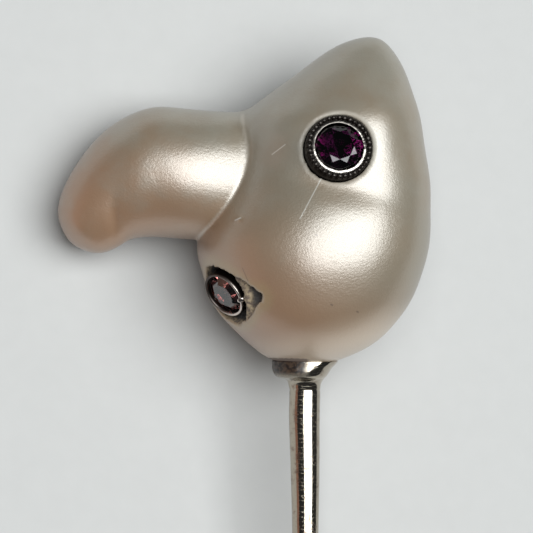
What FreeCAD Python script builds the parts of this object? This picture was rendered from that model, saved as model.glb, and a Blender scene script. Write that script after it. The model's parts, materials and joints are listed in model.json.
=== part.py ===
"""Stick pin with a baroque pearl head, as a parametric document (millimetres).

The pearl has grown into a bird's head: one lobe is the head with its peaked
crown, the other is the big hooked beak. A faceted stone in a beaded collet is
the eye, a smaller one in a recess is the mouth. Below, a soldered cup, peg and
stem carry the pearl.

Every piece is drawn upright: X to the right as seen from the eye's side, Y away
from the viewer, Z up along the stem, whose axis is the Z axis. The last section
lays the pin on its back, as it rests by itself: on the back of the head, the
back of the beak and the stem.
"""
import collections
import math
import os

import FreeCAD
import Part

Vector = FreeCAD.Vector
Rotation = FreeCAD.Rotation
Placement = FreeCAD.Placement
X_AXIS, Y_AXIS, Z_AXIS = Vector(1, 0, 0), Vector(0, 1, 0), Vector(0, 0, 1)

doc = FreeCAD.newDocument("StickPin")
sheet = doc.addObject("Spreadsheet::Sheet", "Sizes")


# Driving dimensions

SIZES = (
    # alias, value in mm or degrees, meaning
    ("gap", 0.02, "play between the pearl and the metal it is glued to"),
    ("seat_gap", 0.03, "play round a collet in its seat and a stone in its collet"),
    ("rest_roll", -15.1, "turn about the stem that lets the beak down to the floor"),
    ("rest_tilt", 3.5, "tilt that lets the stem down to the floor"),
    ("eye_x", 1.16, "place of the eye on the pearl's skin"),
    ("eye_y", -3.00, ""),
    ("eye_z", 7.55, ""),
    ("eye_radius", 1.19, "outer wall of the eye's collet"),
    ("eye_sink", 0.95, "how deep the collet is let into the pearl"),
    ("eye_rise", 0.14, "how far its wall stands above the skin"),
    ("bead_radius", 0.10, "beads milled on its edge"),
    ("bead_circle", 1.08, "radius of the ring of beads"),
    ("lip_radius", 0.93, "inner ring that holds the stone down"),
    ("lip_wire", 0.06, "thickness radius of that ring"),
    ("eye_bore", 0.93, "hollow round the stone's girdle"),
    ("back_hole", 0.35, "hole behind the stone's point"),
    ("eye_stone_radius", 0.90, "girdle of the eye's stone"),
    ("eye_stone_height", -0.02, "height of that girdle above the skin"),
    ("mouth_x", -2.91, "centre of the mouth collet's rim"),
    ("mouth_y", -1.40, ""),
    ("mouth_z", 2.34, ""),
    ("mouth_radius", 0.87, "outer wall of the mouth's collet"),
    ("mouth_sink", 0.95, "depth of that collet below its rim"),
    ("rim_radius", 0.79, "rounded rim that holds the stone"),
    ("rim_wire", 0.08, "thickness radius of the rim"),
    ("mouth_bore", 0.76, "hollow round the girdle"),
    ("claw_radius", 0.11, "claw that stands beside the rim"),
    ("claw_circle", 0.94, "its distance from the collet's axis"),
    ("claw_foot", 0.36, "how far below the rim it starts"),
    ("claw_rise", 0.02, "height of the centre of its round head"),
    ("claw_angle", 55.0, "its direction round the collet, from the low side"),
    ("mouth_stone_radius", 0.71, "girdle of the mouth's stone"),
    ("mouth_stone_height", -0.23, "height of that girdle below the rim"),
    ("recess_radius", 1.02, "recess round the mouth's collet"),
    ("recess_depth", 0.40, "depth of its floor below the rim"),
    ("recess_flank", 0.94, "half width of the recess where it starts to narrow"),
    ("recess_reach", 2.05, "distance from the collet to the recess's pointed corner"),
    ("recess_tip", 0.12, "rounding of that corner"),
    ("recess_angle", 64.0, "direction of that corner, from the low side"),
    ("clear_height", 2.5, "how far a cutting tool reaches past what it cuts"),
    ("peg_radius", 0.35, "peg that holds the pearl"),
    ("peg_height", 2.60, "its length above the cup's rim"),
    ("peg_root", 0.45, "how far below the rim the peg is soldered in"),
    ("stem_radius", 0.475, "straight part of the stem"),
    ("stem_top", -6.10, "height at which the neck has tapered to that radius"),
    ("stem_end", -47.50, "height of the point"),
    ("point_length", 4.00, "length of the sharpened end"),
    ("point_radius", 0.04, "blunting of the point"),
)

# Level sections of the head lobe. Left and right are the ends of the section as
# seen from the eye's side, depth is half its thickness, forward moves its middle
# towards the viewer and turn twists its thick side that way.
HEAD_COLUMNS = ("height", "left", "right", "depth", "forward", "turn")
HEAD = (
    (0.00, -1.07, 1.11, 1.07, 0.00, 0),
    (0.39, -1.73, 2.05, 1.82, 0.04, 4),
    (1.29, -2.71, 3.16, 2.75, 0.11, 8),
    (2.18, -3.36, 3.79, 3.21, 0.14, 9),
    (3.04, -3.63, 4.14, 3.43, 0.18, 9),
    (4.04, -3.86, 4.41, 3.52, 0.18, 9),
    (5.18, -3.54, 4.48, 3.34, 0.18, 10),
    (5.75, -3.29, 4.48, 3.16, 0.18, 11),
    (6.39, -3.04, 4.45, 2.96, 0.18, 12),
    (7.54, -2.61, 4.27, 2.82, 0.14, 14),
    (8.68, -2.27, 4.09, 2.59, 0.11, 14),
    (9.46, -1.39, 3.86, 2.14, 0.07, 12),
    (10.32, -0.21, 3.57, 1.64, 0.04, 8),
    (10.93, 0.61, 3.25, 1.18, 0.00, 4),
    (11.32, 1.29, 2.93, 0.75, 0.00, 0),
)
HEAD_BOTTOM = (0.00, -0.21)
HEAD_TOP = (2.29, 11.57)

# Sections of the beak lobe from its root inside the head to its tip. Each one
# spans from a point on the beak's back to a point on its underside, so that the
# sections turn with the hook, and depth is half its thickness.
BEAK_COLUMNS = ("back_x", "back_z", "under_x", "under_z", "depth")
BEAK = (
    (-1.18, 8.11, -1.25, 4.89, 1.18),
    (-2.11, 8.77, -2.25, 4.32, 1.75),
    (-3.32, 8.93, -3.54, 4.31, 2.14),
    (-4.54, 9.04, -4.64, 4.38, 2.23),
    (-5.39, 9.06, -5.32, 4.43, 2.16),
    (-6.25, 8.79, -5.89, 4.41, 2.04),
    (-7.11, 8.25, -6.32, 4.30, 1.82),
    (-7.82, 7.50, -6.57, 4.14, 1.64),
    (-8.39, 6.64, -6.79, 4.02, 1.46),
    (-8.75, 5.82, -7.00, 3.93, 1.25),
    (-8.80, 5.11, -7.29, 3.86, 0.96),
    (-8.64, 4.64, -7.64, 3.88, 0.61),
)
BEAK_ROOT = (-0.61, 6.46)
BEAK_TIP = (-8.27, 4.16)

# Round sections of the cup, from rim to floor: its middle leans to the left.
CUP_COLUMNS = ("height", "middle", "radius")
CUP = (
    (0.12, 0.01, 1.20),
    (-0.05, -0.03, 1.15),
    (-0.32, -0.14, 1.03),
    (-0.50, -0.15, 0.91),
    (-0.62, -0.07, 0.74),
)

# Round sections of the neck, from the cup's floor down to the straight stem.
NECK_COLUMNS = ("height", "radius")
NECK = (
    (-0.45, 0.62),
    (-0.75, 0.58),
    (-1.54, 0.555),
    (-3.00, 0.54),
    (-4.40, 0.51),
)

# Facets of the stones, tier by tier. Side is 1 above the girdle and -1 below it,
# count the number of facets in a full turn, first the direction of the first one
# and slope their angle to the girdle. A facet goes through the point of its own
# direction that lies reach from the axis and lift above the girdle, both in radii
# of the stone.
Tier = collections.namedtuple("Tier", "side count first slope reach lift")
HALF_STEP = math.cos(math.radians(11.25))
TABLE_HEIGHT = 0.295
TABLE_REACH = 0.522
BRILLIANT = (
    Tier(1, 16, 11.25, 42.0, HALF_STEP, 0.0),
    Tier(1, 8, 0.0, 34.0, 1.0, 0.0),
    Tier(1, 8, 22.5, 20.0, TABLE_REACH, TABLE_HEIGHT),
    Tier(-1, 16, 11.25, 42.5, HALF_STEP, 0.0),
    Tier(-1, 8, 0.0, 41.0, 1.0, 0.0),
)
SINGLE_TABLE_HEIGHT = 0.33
SINGLE_CUT = (
    Tier(1, 8, 0.0, 38.0, 1.0, 0.0),
    Tier(-1, 8, 0.0, 41.0, 1.0, 0.0),
)

GIRDLE = 0.02
CONE_SLOPE = 41.5
BEADS = 36
EYE_OUTWARD = Vector(0.15, -0.95, 0.26)
MOUTH_OUTWARD = Vector(-0.635, -0.565, -0.528)
MOUTH_LOW_SIDE = Vector(0.64, 0, -0.77)


def fill_sheet():
    """The driving dimensions, then a row for each section, each cell with its alias."""
    for row, (alias, value, meaning) in enumerate(SIZES, 1):
        sheet.set(f"A{row}", alias)
        sheet.set(f"B{row}", str(value))
        sheet.set(f"C{row}", meaning)
        sheet.setAlias(f"B{row}", alias)
    row = len(SIZES) + 2
    tables = (
        ("head", HEAD_COLUMNS, HEAD),
        ("beak", BEAK_COLUMNS, BEAK),
        ("cup", CUP_COLUMNS, CUP),
        ("neck", NECK_COLUMNS, NECK),
    )
    for name, columns, rows in tables:
        for number, values in enumerate(rows):
            for letter, column, value in zip("BCDEFG", columns, values):
                sheet.set(f"{letter}{row}", str(value))
                sheet.setAlias(f"{letter}{row}", f"{name}_{number}_{column}")
            row += 1
    doc.recompute()


def size(alias):
    """The value of one cell of the sheet."""
    return float(getattr(sheet, alias))


def add(kind, label, placement=None, **bound):
    """A new object of the document whose properties are bound to expressions."""
    item = doc.addObject(kind, label)
    item.Label = label
    if placement is not None:
        item.Placement = placement
    for name, expression in bound.items():
        item.setExpression(name.replace("__", "."), expression)
    return item


def cell(alias, unit="mm"):
    """The expression that reads one cell of the sheet, with its unit."""
    return f"Sizes.{alias} * 1 {unit}"


def joined(label, *pieces):
    """Pieces that are one solid."""
    fuse = add("Part::MultiFuse", label)
    fuse.Shapes = list(pieces)
    return fuse


def cut(label, base, tool):
    """The base with the tool's shape taken out."""
    item = add("Part::Cut", label)
    item.Base = base
    item.Tool = tool
    return item


def loft(label, sections):
    """A smooth solid through its sections."""
    item = add("Part::Loft", label)
    item.Sections = sections
    item.Solid = True
    item.Ruled = False
    return item


def point(label, x, z):
    """A point in the plane of the beak, where a lobe closes."""
    return add("Part::Vertex", label, X=f"{x} mm", Z=z if isinstance(z, str) else f"{z} mm")


# The pearl

def head_lobe(label, grow="0"):
    """The head through its level ellipses.

    An ellipse that is turned keeps its outline as seen from the eye's side: its
    long half axis is sqrt(a^2 - (c sin turn)^2) / cos turn, where a is half the
    width and c half the thickness. grow widens every section and lowers it, for
    the hollow of the cup.
    """
    sections = [point(f"{label}_bottom", HEAD_BOTTOM[0], f"({HEAD_BOTTOM[1]} - {grow}) * 1 mm")]
    for number in range(len(HEAD)):
        row = f"Sizes.head_{number}_"
        half = f"(({row}right - {row}left) / 2 + {grow})"
        depth = f"({row}depth + {grow})"
        angle = f"({row}turn * 1 deg)"
        long_axis = f"sqrt({half} ^ 2 - ({depth} * sin({angle})) ^ 2) / cos({angle}) * 1 mm"
        sections.append(add(
            "Part::Ellipse", f"{label}_{number}",
            MajorRadius=long_axis,
            MinorRadius=f"{depth} * 1 mm",
            Placement__Base__x=f"({row}left + {row}right) / 2 * 1 mm",
            Placement__Base__y=f"-{row}forward * 1 mm",
            Placement__Base__z=f"({row}height - {grow}) * 1 mm",
            Placement__Rotation__Angle=f"-{row}turn * 1 deg"))
    sections.append(point(f"{label}_top", *HEAD_TOP))
    return loft(label, sections)


def beak_lobe(label):
    """The beak through ellipses that stand across it and turn with the hook."""
    sections = [point(f"{label}_root", *BEAK_ROOT)]
    for number in range(len(BEAK)):
        row = f"Sizes.beak_{number}_"
        across = f"({row}back_x - {row}under_x)"
        along = f"({row}back_z - {row}under_z)"
        sections.append(add(
            "Part::Ellipse", f"{label}_{number}",
            Placement(Vector(), Rotation(Y_AXIS, 90)),
            MajorRadius=f"sqrt({across} ^ 2 + {along} ^ 2) / 2 * 1 mm",
            MinorRadius=f"{row}depth * 1 mm",
            Placement__Base__x=f"({row}back_x + {row}under_x) / 2 * 1 mm",
            Placement__Base__z=f"({row}back_z + {row}under_z) / 2 * 1 mm",
            Placement__Rotation__Angle=f"-atan2({along}; {across})"))
    sections.append(point(f"{label}_tip", *BEAK_TIP))
    return loft(label, sections)


def facing(x, y, z, outward, low_side):
    """A local frame on the pearl: its Z axis points outward, its X axis to the low side."""
    return Placement(Vector(x, y, z), Rotation(low_side, outward.cross(low_side), outward, "ZXY"))


def eye_frame():
    """The eye looks at the viewer, a little up and to the right."""
    return facing(size("eye_x"), size("eye_y"), size("eye_z"), EYE_OUTWARD, X_AXIS)


def mouth_frame():
    """The mouth faces down and to the left, and half towards the viewer."""
    return facing(size("mouth_x"), size("mouth_y"), size("mouth_z"), MOUTH_OUTWARD, MOUTH_LOW_SIDE)


def seats():
    """What is cut out of the pearl: the eye's seat, the mouth's recess, the peg's hole."""
    eye = add("Part::Cylinder", "eye_seat",
              eye_frame() * Placement(Vector(0, 0, -size("eye_sink") - size("seat_gap")), Rotation()),
              Radius=f"{cell('eye_radius')} + {cell('seat_gap')}",
              Height=f"{cell('eye_sink')} + {cell('seat_gap')} + {cell('clear_height')}")
    mouth = mouth_frame()
    socket = add("Part::Cylinder", "mouth_socket",
                 mouth * Placement(Vector(0, 0, -size("mouth_sink") - size("seat_gap")), Rotation()),
                 Radius=f"{cell('mouth_radius')} + {cell('seat_gap')}",
                 Height=f"{cell('mouth_sink')} + {cell('clear_height')}")
    floor = mouth * Placement(Vector(0, 0, -size("recess_depth")), Rotation(Z_AXIS, size("recess_angle")))
    recess = add("Part::Cylinder", "recess_round", floor,
                 Radius=cell("recess_radius"),
                 Height=f"{cell('recess_depth')} + {cell('clear_height')}")
    corner = add("Part::Cylinder", "recess_corner",
                 floor * Placement(Vector(size("recess_reach") - size("recess_tip"), 0, 0), Rotation()),
                 Radius=cell("recess_tip"),
                 Height=f"{cell('recess_depth')} + {cell('clear_height')}")
    flare = add("Part::Wedge", "recess_flare", floor * Placement(Vector(), Rotation(Z_AXIS, -90)),
                Xmin=f"-{cell('recess_flank')}", Xmax=cell("recess_flank"),
                X2min=f"-{cell('recess_tip')}", X2max=cell("recess_tip"),
                Ymin="0 mm", Ymax=f"{cell('recess_reach')} - {cell('recess_tip')}",
                Zmin="0 mm", Z2min="0 mm",
                Zmax=f"{cell('recess_depth')} + {cell('clear_height')}",
                Z2max=f"{cell('recess_depth')} + {cell('clear_height')}")
    hole = add("Part::Cylinder", "peg_hole", Placement__Base__z=f"-{cell('clear_height')}",
               Radius=f"{cell('peg_radius')} + {cell('gap')}",
               Height=f"{cell('clear_height')} + {cell('peg_height')} + {cell('gap')}")
    return joined("seats", eye, socket, recess, corner, flare, hole)


def pearl():
    """Both lobes grown together, less the seats."""
    body = joined("pearl_body", head_lobe("head"), beak_lobe("beak"))
    return cut("pearl", body, seats())


# The metal

def collet_hollow(label, bore, girdle_height, depth):
    """The inside of a collet: a bore, a cone under the stone and a hole behind it."""
    cone_height = (size(bore) - size("back_hole")) * math.tan(math.radians(CONE_SLOPE))
    shoulder = girdle_height - GIRDLE / 2 - size("seat_gap")
    start = -depth - size("clear_height")
    mouth = add("Part::Cylinder", f"{label}_bore", Placement(Vector(0, 0, shoulder), Rotation()),
                Radius=cell(bore), Height=cell("clear_height"))
    cone = add("Part::Cone", f"{label}_cone", Placement(Vector(0, 0, shoulder - cone_height), Rotation()),
               Radius1=cell("back_hole"), Radius2=cell(bore), Height=f"{cone_height} mm")
    back = add("Part::Cylinder", f"{label}_back", Placement(Vector(0, 0, start), Rotation()),
               Radius=cell("back_hole"), Height=f"{shoulder - start} mm")
    return joined(f"{label}_hollow", mouth, cone, back)


def eye_collet():
    """A tube with a cone inside for the stone, a smooth lip and a ring of beads."""
    blank = add("Part::Cylinder", "eye_blank", Placement(Vector(0, 0, -size("eye_sink")), Rotation()),
                Radius=cell("eye_radius"), Height=f"{cell('eye_sink')} + {cell('eye_rise')}")
    wall = cut("eye_wall", blank, collet_hollow(
        "eye", "eye_bore", size("eye_stone_height"), size("eye_sink")))
    lip = add("Part::Torus", "eye_lip", Placement(Vector(0, 0, size("eye_rise")), Rotation()),
              Radius1=cell("lip_radius"), Radius2=cell("lip_wire"))
    beads = []
    for number in range(BEADS):
        turn = Rotation(Z_AXIS, 360 * number / BEADS)
        spot = turn.multVec(Vector(size("bead_circle"), 0, size("eye_rise")))
        beads.append(add("Part::Sphere", f"eye_bead_{number}", Placement(spot, turn),
                         Radius=cell("bead_radius")))
    return joined("eye_collet", wall, lip, *beads)


def mouth_collet():
    """A plain tube with a rounded rim, and one claw that stands beside it."""
    blank = add("Part::Cylinder", "mouth_blank", Placement(Vector(0, 0, -size("mouth_sink")), Rotation()),
                Radius=cell("mouth_radius"), Height=f"{cell('mouth_sink')} - {cell('rim_wire')}")
    wall = cut("mouth_wall", blank, collet_hollow(
        "mouth", "mouth_bore", size("mouth_stone_height"), size("mouth_sink")))
    rim = add("Part::Torus", "mouth_rim", Placement(Vector(0, 0, -size("rim_wire")), Rotation()),
              Radius1=cell("rim_radius"), Radius2=cell("rim_wire"))
    direction = Rotation(Z_AXIS, size("claw_angle"))
    foot = direction.multVec(Vector(size("claw_circle"), 0, -size("claw_foot")))
    claw = add("Part::Cylinder", "claw", Placement(foot, direction),
               Radius=cell("claw_radius"), Height=f"{cell('claw_foot')} + {cell('claw_rise')}")
    tip = add("Part::Sphere", "claw_tip",
              Placement(direction.multVec(Vector(size("claw_circle"), 0, size("claw_rise"))), direction),
              Radius=cell("claw_radius"))
    return joined("mouth_collet", wall, rim, claw, tip)


def round_section(label, row, middle):
    """One level circle of the cup or the neck."""
    return add("Part::Circle", label, Radius=f"Sizes.{row}_radius * 1 mm",
               Placement__Base__x=middle, Placement__Base__z=f"Sizes.{row}_height * 1 mm")


def pin():
    """Cup, peg, neck, stem and point, soldered into one."""
    cup_body = loft("cup_body", [
        round_section(f"cup_{number}", f"cup_{number}", f"Sizes.cup_{number}_middle * 1 mm")
        for number in range(len(CUP))])
    cup = cut("cup", cup_body, head_lobe("hollow", "Sizes.gap"))
    rings = [round_section(f"neck_{number}", f"neck_{number}", "0 mm") for number in range(len(NECK))]
    rings.append(add("Part::Circle", "neck_end", Radius=cell("stem_radius"),
                     Placement__Base__z=cell("stem_top")))
    neck = loft("neck", rings)
    peg = add("Part::Cylinder", "peg", Placement__Base__z=f"-{cell('peg_root')}",
              Radius=cell("peg_radius"), Height=f"{cell('peg_root')} + {cell('peg_height')}")
    straight = f"{cell('stem_end')} + {cell('point_length')}"
    stem = add("Part::Cylinder", "stem", Placement__Base__z=straight,
               Radius=cell("stem_radius"), Height=f"{cell('stem_top')} - ({straight})")
    tip = add("Part::Cone", "stem_point", Placement__Base__z=cell("stem_end"),
              Radius1=cell("point_radius"), Radius2=cell("stem_radius"), Height=cell("point_length"))
    return joined("pin", cup, neck, peg, stem, tip)


# The stones

def faceted(label, radius, tiers, table):
    """A round blank, cut off flat at the table and then along every facet."""
    girdle = GIRDLE / 2
    side = 4 * radius
    slab = Part.makeBox(side, side, side, Vector(-side / 2, -side / 2, 0))
    blank = Part.makeCylinder(radius, 2 * radius, Vector(0, 0, table * radius + girdle - 2 * radius))
    for tier in tiers:
        lean = Rotation(Y_AXIS, tier.slope if tier.side > 0 else 180 - tier.slope)
        spot = Vector(tier.reach * radius, 0, tier.side * (girdle + tier.lift * radius))
        for number in range(tier.count):
            direction = Rotation(Z_AXIS, tier.first + 360 * number / tier.count)
            foot = direction.multVec(spot)
            tool = slab.copy()
            tool.Placement = Placement(foot, direction * lean)
            blank = blank.cut(tool)
    stone = doc.addObject("Part::Feature", label)
    stone.Label = label
    stone.Shape = blank.removeSplitter()
    return stone


def lifted(frame, alias):
    """A frame moved outward by the height in a cell."""
    return frame * Placement(Vector(0, 0, size(alias)), Rotation())


# The whole pin, laid on its back

fill_sheet()
pieces = {
    "pearl": (pearl(), Placement()),
    "eye_collet": (eye_collet(), eye_frame()),
    "eye_stone": (faceted("eye_stone", size("eye_stone_radius"), BRILLIANT, TABLE_HEIGHT),
                  lifted(eye_frame(), "eye_stone_height")),
    "mouth_collet": (mouth_collet(), mouth_frame()),
    "mouth_stone": (faceted("mouth_stone", size("mouth_stone_radius"), SINGLE_CUT, SINGLE_TABLE_HEIGHT),
                    lifted(mouth_frame(), "mouth_stone_height")),
    "pin": (pin(), Placement()),
}
doc.recompute()

lie_down = (Rotation(X_AXIS, size("rest_tilt")) * Rotation(Y_AXIS, size("rest_roll"))
            * Rotation(X_AXIS, -90))
for item, place in pieces.values():
    item.Placement = Placement(Vector(), lie_down) * place
doc.recompute()
box = Part.makeCompound([item.Shape for item, place in pieces.values()]).optimalBoundingBox(False, False)
to_floor = Placement(Vector(-box.Center.x, -box.Center.y, -box.ZMin), Rotation())
for item, place in pieces.values():
    item.Placement = to_floor * item.Placement
doc.recompute()

for item in doc.Objects:
    if "Invalid" in item.State or "Error" in item.State:
        raise RuntimeError(f"{item.Label} did not rebuild: {item.State}")
os.makedirs("parts", exist_ok=True)
for name, (item, place) in pieces.items():
    shape = item.Shape
    if shape.isNull() or not shape.isValid() or len(shape.Solids) != 1:
        raise RuntimeError(f"{name} is not one valid solid")
    shape.exportStep(f"parts/{name}.step")
    print(f"{name}: {shape.Volume:.3f} mm3, {len(shape.Faces)} faces")
print(f"whole: {box.XLength:.2f} x {box.YLength:.2f} x {box.ZLength:.2f} mm")
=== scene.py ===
# %% [markdown]
# # A stick pin with a baroque pearl head
#
# The pearl has grown into a bird's head with a big hooked beak. A dark stone in
# a beaded collet is its eye and a smaller stone in a ragged recess its mouth. A
# cup soldered to a long pointed stem carries it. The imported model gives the
# pieces, their sizes and how the pin lies; this script dresses them.

# %% Load the frame
import itertools
import json
import math

import bpy
import numpy as np
from mathutils import Matrix, Vector


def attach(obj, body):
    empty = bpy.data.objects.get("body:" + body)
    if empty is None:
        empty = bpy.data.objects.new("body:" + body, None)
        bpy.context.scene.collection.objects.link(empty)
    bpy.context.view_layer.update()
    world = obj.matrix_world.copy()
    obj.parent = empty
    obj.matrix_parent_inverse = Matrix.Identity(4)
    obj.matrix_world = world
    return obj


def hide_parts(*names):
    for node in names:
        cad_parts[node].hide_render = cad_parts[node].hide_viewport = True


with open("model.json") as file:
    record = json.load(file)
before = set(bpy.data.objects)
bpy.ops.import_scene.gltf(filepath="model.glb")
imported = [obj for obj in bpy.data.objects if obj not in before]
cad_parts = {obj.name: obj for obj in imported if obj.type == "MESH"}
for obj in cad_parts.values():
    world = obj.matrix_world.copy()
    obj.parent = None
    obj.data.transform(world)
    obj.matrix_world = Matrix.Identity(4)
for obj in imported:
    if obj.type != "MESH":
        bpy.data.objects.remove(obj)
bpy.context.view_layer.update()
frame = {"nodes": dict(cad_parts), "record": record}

print("nodes:", sorted(frame["nodes"]))

# %% [markdown]
# ## Two ways of looking at the same pin
#
# On the bench the pin is drawn upright: X to the right as seen from the eye's
# side, Y away from the viewer, Z up along the stem, in millimetres. On the table
# it lies on its back, in metres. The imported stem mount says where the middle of
# the stem is and how it points; only the roll about the stem is a number of ours.

# %% From upright millimetres to lying metres
MM = 0.001
ROLL = math.radians(-15.1)
STEM_SPOT = np.array([0.0, 0.0, -24.8])
mount = frame["record"]["mounts"][0]
TILT = math.atan2(-mount["axis"][2], -mount["axis"][1])
TURN = np.array(Matrix.Rotation(TILT, 3, "X") @ Matrix.Rotation(ROLL, 3, "Y")
                @ Matrix.Rotation(math.radians(-90), 3, "X"))


def laid(points):
    """Upright points in mm to the lying pin in metres: turned about the stem's middle."""
    return (np.asarray(points, float) - STEM_SPOT) @ TURN.T * MM + np.array(mount["pos_m"])


print(f"the stem tilts {math.degrees(TILT):.2f} degrees, the head rolls {math.degrees(ROLL):.1f}")

# %% [markdown]
# ## The camera
#
# The photograph looks straight at the eye's side with a long lens, so the lying
# pin is seen from above. The camera looks along the upright Y axis and keeps the
# stem vertical in the picture.

# %% Camera
VIEW_CENTRE = (-1.375, 0.0, 3.375)
VIEW_FIELD = 19.04
LENS = 300.0
SENSOR = 36.0
NEAR_CLIP_M = 0.005


def added(name, data):
    """A new object in the scene."""
    made = bpy.data.objects.new(name, data)
    bpy.context.scene.collection.objects.link(made)
    return made


def aim(made, spot, axes):
    """Puts an object at a spot in metres, its own X, Y and Z along the three axes."""
    made.matrix_world = Matrix.Translation(Vector(spot)) @ Matrix(np.array(axes).T.tolist()).to_4x4()


camera = added("camera", bpy.data.cameras.new("camera"))
bpy.context.scene.camera = camera
camera.data.lens = LENS
camera.data.sensor_width = SENSOR
camera.data.clip_start = NEAR_CLIP_M
camera_distance = VIEW_FIELD * LENS / SENSOR
right, away, up = TURN.T
eye_point = laid(VIEW_CENTRE) - away * camera_distance * MM
aim(camera, eye_point, [right, up, -away])
print(f"camera {camera_distance:.1f} mm away, at {np.round(eye_point * 1000, 1)} mm")

# %% [markdown]
# ## Tools for smooth shapes
#
# Every form of this pin is given by a few measured sections. A cubic spline runs
# smoothly through them, and lattice noise gives small uneven forms that are the
# same on each run.


# %% Splines and noise
def spline(knots, values, at):
    """Natural cubic spline through values at knots, going on straight beyond both ends."""
    knots, values, at = np.asarray(knots, float), np.asarray(values, float), np.asarray(at, float)
    step = np.diff(knots)
    slope = np.diff(values) / step
    matrix, target = np.eye(len(knots)), np.zeros(len(knots))
    inner = np.arange(1, len(knots) - 1)
    matrix[inner, inner - 1] = step[:-1]
    matrix[inner, inner] = 2 * (step[:-1] + step[1:])
    matrix[inner, inner + 1] = step[1:]
    target[1:-1] = 6 * np.diff(slope)
    bend = np.linalg.solve(matrix, target)
    inside = np.clip(at, knots[0], knots[-1])
    i = np.clip(np.searchsorted(knots, inside) - 1, 0, len(step) - 1)
    h, a, b = step[i], knots[i + 1] - inside, inside - knots[i]
    curve = (bend[i] * a ** 3 + bend[i + 1] * b ** 3) / (6 * h)
    curve += (values[i] / h - bend[i] * h / 6) * a + (values[i + 1] / h - bend[i + 1] * h / 6) * b
    first = slope[0] - bend[1] * step[0] / 6
    last = slope[-1] + bend[-2] * step[-1] / 6
    return curve + np.where(at < knots[0], first, last) * (at - inside)


LATTICE = 32


def noise(points, cell, seed):
    """Random numbers from -1 to 1 on a lattice of that cell size, smoothly filled in between."""
    table = np.random.default_rng(seed).uniform(-1, 1, (LATTICE,) * 3)
    place = np.asarray(points, float) / cell
    low = np.floor(place).astype(int)
    part = place - low
    part = part * part * (3 - 2 * part)
    total = 0.0
    for corner in itertools.product((0, 1), repeat=3):
        i, j, k = np.moveaxis((low + corner) % LATTICE, -1, 0)
        total = total + np.prod(np.where(corner, part, 1 - part), axis=-1) * table[i, j, k]
    return total


def uneven(points, *layers):
    """Several noises added up, each given as its amount, cell size and seed."""
    return sum(amount * noise(points, cell, seed) for amount, cell, seed in layers)


def fade(value, low, high):
    """0 below low, 1 above high, smooth in between (low may be the larger)."""
    t = np.clip((value - low) / (high - low), 0, 1)
    return t * t * (3 - 2 * t)


def whole_turn(count):
    """Evenly spaced angles round a full turn."""
    return np.linspace(0, 2 * np.pi, count, endpoint=False)


print("halfway up a spline through 0, 1 and 0:", spline((0, 1, 2), (0, 1, 0), [0.5]).round(3))


# %% [markdown]
# ## From arrays to pieces
#
# A piece is a set of upright points and the faces between them. Most are a grid:
# one row after another along a profile, each row going once round. The mesh gets
# its points in metres, in place, and keeps the upright millimetres as an
# attribute, so that a finish can be told where on the pearl it is.


# %% Meshes from grids
def grid_shape(grid, loop=False):
    """Points, quads and triangles of a grid (rows, around, 3) that closes round.

    With loop the last row also joins the first; without, both ends close in a pole.
    """
    rows, around = grid.shape[:2]
    points = grid.reshape(-1, 3)
    row, col = np.arange(rows if loop else rows - 1)[:, None] * around, np.arange(around)
    side, below = (col + 1) % around, (row + around) % len(points)
    quads = np.stack([row + col, row + side, below + side, below + col], -1).reshape(-1, 4)
    if loop:
        return points, quads, np.zeros((0, 3), int)
    poles = np.arange(len(points), len(points) + 2)[:, None] + 0 * col
    last = len(points) - around
    tris = np.vstack([np.stack([poles[0], side, col], -1), np.stack([last + col, last + side, poles[1]], -1)])
    return np.vstack([points, grid[0].mean(0), grid[-1].mean(0)]), quads, tris


def outward(points, quads, tris):
    """The same faces, turned round if the closed shape they bound came out with a negative volume."""
    corners = np.vstack([quads[:, [0, 1, 2]], quads[:, [0, 2, 3]], tris])
    a, b, c = np.moveaxis(points[corners], 1, 0)
    if np.einsum("ij,ij->", a, np.cross(b, c)) < 0:
        return quads[:, ::-1], tris[:, ::-1]
    return quads, tris


def piece(name, shapes, replaces, slot, **masks):
    """Adds an object of closed shapes in upright mm, standing for a node, with a mask for each point."""
    points, faces, count = [], [], 0
    for shape_points, quads, tris in shapes:
        quads, tris = outward(shape_points, quads, tris)
        points.append(shape_points)
        faces += (quads + count).tolist() + (tris + count).tolist()
        count += len(shape_points)
    points = np.vstack(points)
    mesh = bpy.data.meshes.new(name)
    mesh.from_pydata(laid(points).tolist(), [], faces)
    mesh.polygons.foreach_set("use_smooth", np.ones(len(faces), bool))
    mesh.attributes.new("upright", "FLOAT_VECTOR", "POINT").data.foreach_set("vector", points.ravel())
    for mask, values in masks.items():
        mesh.attributes.new(mask, "FLOAT", "POINT").data.foreach_set("value", values)
    mesh.update()
    made = added(name, mesh)
    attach(made, "root")
    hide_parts(replaces)
    mesh.calc_loop_triangles()
    print(f"{name}: {len(mesh.loop_triangles)} triangles")


# %% [markdown]
# ## The pearl's head lobe
#
# A baroque pearl is nacre laid down over an uneven core, so it has no straight
# line and no edge. It could be sculpted, but here it is a field: a number for
# every point of space that is negative inside the pearl and zero on its skin.
# The head is a stack of level ellipses, measured on the photograph, whose middle,
# width, depth and turn run smoothly from the bottom to the peaked crown.

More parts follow.
